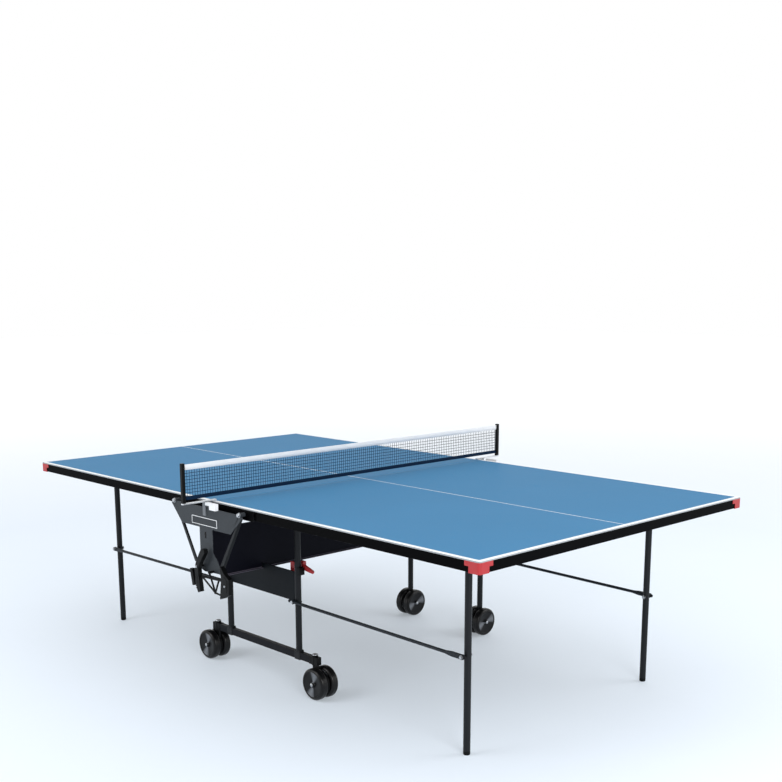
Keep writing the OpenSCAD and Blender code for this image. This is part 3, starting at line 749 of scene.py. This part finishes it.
def wheel(node, body):
    """Tyre and hub in place of a plain CAD wheel, with its origin on the axle."""
    low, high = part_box(node)
    centre = (low + high) / 2
    size = high - low
    direction = (1, 0, 0) if size.x < size.y else (0, 1, 0)
    bm = bmesh.new()
    profile, materials = wheel_profile()
    lathe(bm, profile, 72, materials=materials)
    ends = [(AXLE_R, -WHEEL_W / 2 + 1 * MM), (AXLE_R, WHEEL_W / 2 - 1 * MM)]
    lathe(bm, ends, 72, materials=[1])
    bmesh.ops.remove_doubles(bm, verts=bm.verts, dist=0.01 * MM)
    obj = build(f"{node}_tyre", bm, ("wheel_black", "hub_black"), body, (node,),
                at=axis_matrix(centre, direction))
    add_modifiers(obj, 0)


AXLE_END = 45 * MM
CAP_R, CAP_H = 7 * MM, 4.4 * MM
for side in SIDES:
    turn = SIGN[side]
    for step in ("outer", "inner"):
        for node in (f"{side}_caster_{step}_wheel", f"far_{side}_{step}_wheel"):
            wheel(node, f"{node}_body")
    caster_x = turn * (FORK_LOW.x + FORK_HIGH.x) / 2
    for row in ("near", "far"):
        y = SIGN[row] * (AXLE_END - 1 * MM) - UPRIGHT_FAR
        dome(f"{side}_caster_{row}_cap", (caster_x, y, WHEEL_R), (0, SIGN[row], 0),
             f"{side}_caster", CAP_R, CAP_H)
    for step, way in (("outer", turn), ("inner", -turn)):
        x = turn * UPRIGHT_X + way * (AXLE_END - 1 * MM)
        dome(f"far_{side}_{step}_cap", (x, UPRIGHT_FAR, WHEEL_R), (way, 0, 0), ROOT,
             CAP_R, CAP_H)

# ---------------------------------------------------------------- net

mesh_low, mesh_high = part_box("net_mesh")
band_low, band_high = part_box("net_top_band")
foot_low, foot_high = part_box("net_foot_band")
NET_HALF = mesh_high.y
PITCH = 11.4 * MM
CORD_R = 0.8 * MM
ROW_CORD_R = 0.95 * MM


def sway(y, z):
    """Slight unevenness of the stretched net, across its plane."""
    return 0.9 * MM * noise.noise(Vector((3 * y, 9 * z, 0.5)))


def strand(bm, points, radius, sides=6):
    """Cord through points, as one closed tube."""
    rings = []
    for i, p in enumerate(points):
        ahead = points[min(i + 1, len(points) - 1)] - points[max(i - 1, 0)]
        across = ahead.normalized().cross(Vector((1, 0, 0))).normalized()
        turn = 2 * math.pi / sides
        rings.append([
            bm.verts.new(p + radius * (math.cos(k * turn) * across
                                       + math.sin(k * turn) * Vector((1, 0, 0))))
            for k in range(sides)])
    for a, b in zip(rings, rings[1:]):
        for k in range(sides):
            j = (k + 1) % sides
            bm.faces.new((a[k], a[j], b[j], b[k]))
    bm.faces.new(rings[0][::-1])
    bm.faces.new(rings[-1])


def net_mesh():
    """Knotted mesh of thin upright cords and thicker rows."""
    bm = bmesh.new()
    columns = int(2 * NET_HALF / PITCH)
    step = 2 * NET_HALF / columns
    rows = int((mesh_high.z - mesh_low.z) / PITCH)
    rise = (mesh_high.z - mesh_low.z) / rows
    for i in range(1, columns):
        y = -NET_HALF + i * step
        points = []
        for k in range(rows + 1):
            z = mesh_low.z + k * rise
            drift = 0.5 * MM * noise.noise(Vector((i * 0.7, k * 0.9, 3)))
            points.append(Vector((sway(y, z), y + drift, z)))
        strand(bm, points, CORD_R)
    for k in range(1, rows):
        points = []
        for i in range(columns + 1):
            y, z = -NET_HALF + i * step, mesh_low.z + k * rise
            drift = 0.5 * MM * noise.noise(Vector((i * 0.7, k * 0.9, 8)))
            points.append(Vector((sway(y, z) + 0.3 * MM, y, z + drift)))
        strand(bm, points, ROW_CORD_R)
    net = build("net_cords", bm, ("net_cord",), ROOT, ("net_mesh",))


def folded_tape(name, low, high, skin, material, node, fold_up):
    """Tape folded over an edge of the net, open on its other long side."""
    height = high.z - low.z
    half = (high.x - low.x) / 2
    base, tip = (low.z, high.z) if fold_up else (high.z, low.z)
    way = 1 if fold_up else -1
    bend = tip - way * half
    outer = [(-half * 0.7, base), (-half, base + way * height * 0.5)]
    outer += [(half * math.cos(a), bend + way * half * math.sin(a))
              for a in [math.pi - i * math.pi / 8 for i in range(9)]]
    outer += [(half, base + way * height * 0.5), (half * 0.7, base)]
    inside = half - skin
    inner = [(inside * 0.6, base), (inside, base + way * height * 0.5)]
    inner += [(inside * math.cos(a), bend + way * inside * math.sin(a))
              for a in [i * math.pi / 8 for i in range(9)]]
    inner += [(-inside, base + way * height * 0.5), (-inside * 0.6, base)]
    section = outer + inner
    bm = bmesh.new()
    stations = 180
    loops = []
    for i in range(stations + 1):
        y = -NET_HALF + 2 * NET_HALF * i / stations
        loop = []
        for x, z in section:
            pucker = 0.25 * MM * noise.noise(Vector((y * 60, z * 200, 2)))
            shift = sway(y, z) * 0.5 + pucker * (1 if x > 0 else -1)
            loop.append(bm.verts.new((x + shift, y, z)))
        loops.append(loop)
    for a, b in zip(loops, loops[1:]):
        for k in range(len(section)):
            j = (k + 1) % len(section)
            bm.faces.new((a[k], a[j], b[j], b[k]))
    for loop, turn in ((loops[0], 1), (loops[-1], -1)):
        count = len(section)
        for k in range(count // 2 - 1):
            quad = (loop[k], loop[k + 1], loop[count - 2 - k], loop[count - 1 - k])
            bm.faces.new(quad[::turn])
    tape = build(name, bm, (material,), ROOT, (node,))
    return tape, 2 * height + (math.pi - 2) * half


def stitches(name, z, half, pitch, material):
    """A row of short stitches on both faces of a tape."""
    bm = bmesh.new()
    count = int(2 * NET_HALF / pitch)
    for face in (-1, 1):
        for i in range(count):
            y = -NET_HALF + (i + 0.5) * pitch
            x = face * (half + 0.1 * MM) + sway(y, z) * 0.5
            points = [Vector((x - face * 0.5 * MM, y - 0.33 * pitch, z)),
                      Vector((x, y - 0.2 * pitch, z)), Vector((x, y + 0.2 * pitch, z)),
                      Vector((x - face * 0.5 * MM, y + 0.33 * pitch, z))]
            strand(bm, points, 0.35 * MM, 5)
    return build(name, bm, (material,), ROOT)


net_mesh()
top_tape, top_cut = folded_tape("net_white_tape", band_low, band_high, 0.6 * MM, "net_tape",
                                "net_top_band", True)
seam_top = stitches("net_tape_stitches", band_low.z + 2.5 * MM, 1.45 * MM, 4.5 * MM, "thread_white")
foot_tape, foot_cut = folded_tape("net_dark_tape", foot_low, foot_high, 0.5 * MM, "net_hem",
                                  "net_foot_band", False)

# ---------------------------------------------------------------- studio

FLOOR_TONE = rgb(197, 206, 217)
FLOOR_GLOW = (0.88, 0.95, 1, 1)
FADE_START, FADE_END = 3.5, 11.0
DARK_SIDE = (0.72, -0.66, 0.1)
LIGHTS = (  # name, place, size in metres, watts
    ("key", (-1.5, -5.0, 3.5), 2.5, 90), ("rim", (3.5, 3.5, 3.0), 2.5, 70),
    ("front", (4.4, -1.8, 1.9), 1.8, 90), ("glint", (-1.6, -2.9, 0.6), 0.4, 5),
)
LIGHT_AIM = (0, 0, 0.5)
CAMERA_PLACE = (3.5431, -3.2045, 1.5605)
CAMERA_TILT, CAMERA_TURN = 78.575, 45.677
LENS, SENSOR = 52.01, 36
SHIFT_X, SHIFT_Y = -0.0148, 0.159


def studio_floor():
    """Pale floor that fades to white away from the table."""
    s = Shader("floor_pale")
    away = s.node("ShaderNodeVectorMath", operation="LENGTH")
    s.feed(away.inputs[0], s.place)
    far = s.step(away.outputs["Value"], FADE_START, FADE_END)
    tone = s.mix(s.noise(3, 3), lighter(FLOOR_TONE, 0.98), FLOOR_TONE)
    s.finish(s.mix(far, tone, (1, 1, 1, 1)), s.spread(s.noise(40, 3), 0.6, 0.75),
             s.bump(s.noise(300, 2), 0.1 * MM))
    s.bsdf.inputs["Emission Color"].default_value = FLOOR_GLOW
    s.feed(s.bsdf.inputs["Emission Strength"], s.spread(far, 0.27, 0.2))
    bm = bmesh.new()
    bmesh.ops.create_grid(bm, x_segments=8, y_segments=8, size=30)
    mesh = bpy.data.meshes.new("floor")
    bm.to_mesh(mesh)
    bm.free()
    mesh.materials.append(s.material)
    floor = bpy.data.objects.new("floor", mesh)
    bpy.context.scene.collection.objects.link(floor)


def studio_world():
    """White room that is dimmer towards one side, and white where it is seen."""
    world = bpy.data.worlds.new("studio")
    world.use_nodes = True
    tree = world.node_tree
    background = tree.nodes["Background"]
    facing = tree.nodes.new("ShaderNodeVectorMath")
    facing.operation = "DOT_PRODUCT"
    tree.links.new(tree.nodes.new("ShaderNodeTexCoord").outputs["Generated"], facing.inputs[0])
    facing.inputs[1].default_value = Vector(DARK_SIDE).normalized()
    room = tree.nodes.new("ShaderNodeMapRange")
    tree.links.new(facing.outputs["Value"], room.inputs["Value"])
    for key, value in (("From Min", 0.45), ("From Max", 0.9), ("To Min", 1.0), ("To Max", 0.3)):
        room.inputs[key].default_value = value
    lit = tree.nodes.new("ShaderNodeMath")
    lit.operation = "MAXIMUM"
    tree.links.new(room.outputs[0], lit.inputs[0])
    tree.links.new(tree.nodes.new("ShaderNodeLightPath").outputs["Is Camera Ray"], lit.inputs[1])
    tree.links.new(lit.outputs[0], background.inputs["Strength"])
    background.inputs["Color"].default_value = (1, 1, 1, 1)
    bpy.context.scene.world = world
    bpy.context.scene.view_settings.view_transform = "Standard"


def studio_lights():
    """Area lights, all turned to the middle of the table."""
    for name, place, size, power in LIGHTS:
        data = bpy.data.lights.new(name, "AREA")
        data.size = size
        data.energy = power
        lamp = bpy.data.objects.new(name, data)
        lamp.location = place
        aim = Vector(LIGHT_AIM) - Vector(place)
        lamp.rotation_euler = aim.to_track_quat("-Z", "Y").to_euler()
        bpy.context.scene.collection.objects.link(lamp)


def studio_camera():
    """Camera fitted to the corners, net and feet of the table in the photo."""
    data = bpy.data.cameras.new("camera")
    data.sensor_width = SENSOR
    data.lens = LENS
    data.shift_x = SHIFT_X
    data.shift_y = SHIFT_Y
    camera = bpy.data.objects.new("camera", data)
    camera.location = CAMERA_PLACE
    camera.rotation_euler = (math.radians(CAMERA_TILT), 0, math.radians(CAMERA_TURN))
    bpy.context.scene.collection.objects.link(camera)
    bpy.context.scene.camera = camera


studio_floor()
studio_world()
studio_lights()
studio_camera()
